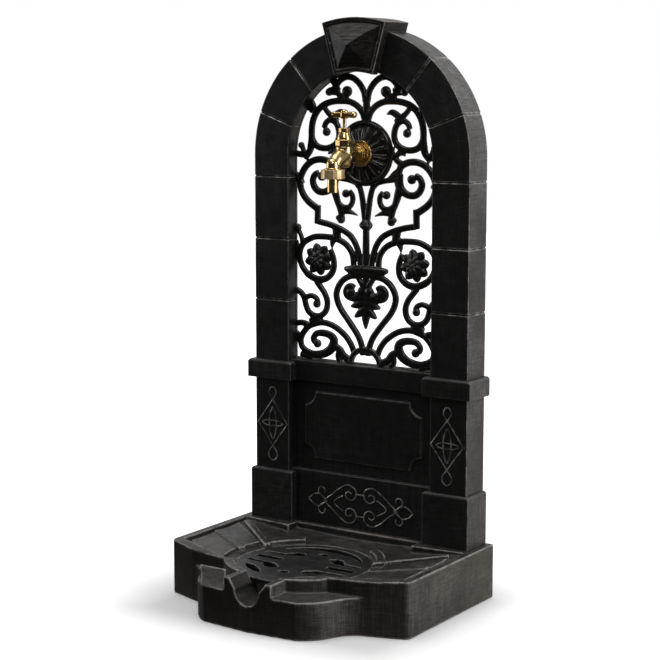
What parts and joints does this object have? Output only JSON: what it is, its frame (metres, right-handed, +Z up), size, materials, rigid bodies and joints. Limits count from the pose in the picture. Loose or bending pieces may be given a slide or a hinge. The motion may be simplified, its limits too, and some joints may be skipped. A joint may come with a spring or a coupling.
{
  "type": "garden wall fountain",
  "caption": "Standing cast wall fountain: round arch with a pierced scroll panel, brass bib tap, and a tray with a round lift-out grate and a pouring notch.",
  "frame": {"origin": "on the ground under the middle of the fountain's bounding box", "axes": "+Z up, -Y to the front, +X to the right seen from the front"},
  "size_m": [0.44, 0.358, 0.903],
  "materials": {
    "casting": "satin black, brushed grey on the edges",
    "brass": "polished",
    "brass_rough": "as cast",
    "rubber": "matt",
    "fibre": "matt",
    "zinc": "zinc plated"
  },
  "bodies": {
    "standpost": {"base_tray": "casting", "frame": "casting", "keystone": "casting", "apron": "casting", "scroll_panel": "casting", "rosette": "casting", "wall_flange": "brass", "tap_body": "brass", "bonnet_washer": "fibre", "bonnet": "brass", "gland_packing": "fibre", "gland_nut": "brass", "outlet_nut": "brass_rough", "hose_tail": "brass", "hose_washer": "rubber", "tap_washer": "rubber", "tap_back_nut": "brass_rough", "panel_screws": "zinc", "apron_screws": "zinc", "keystone_screws": "zinc", "frame_bolts": "zinc", "frame_washers": "zinc", "frame_nuts": "zinc"},
    "grate": {"drain_grate": "casting"},
    "jumper": {"jumper_valve": "brass", "jumper_washer": "rubber"},
    "handle": {"spindle": "brass", "tee_handle": "brass", "handle_screw": "brass"}
  },
  "joints": [
    {"name": "grate_lift", "type": "slide", "parent": "standpost", "child": "grate", "axis": [0, 0, 1], "range_m": [0, 0.15]},
    {"name": "jumper_lift", "type": "slide", "parent": "standpost", "child": "jumper", "axis": [0, 0, 1], "range_m": [0, 0.0041]},
    {"name": "handle_turn", "type": "hinge", "parent": "jumper", "child": "handle", "pos_m": [0, 0.0855, 0.754], "axis": [0, 0, 1], "range_deg": [0, 720]}
  ],
  "couplings": [
    {"joint": "jumper_lift", "follows": "handle_turn", "m_per_rad": 0.00031831}
  ]
}
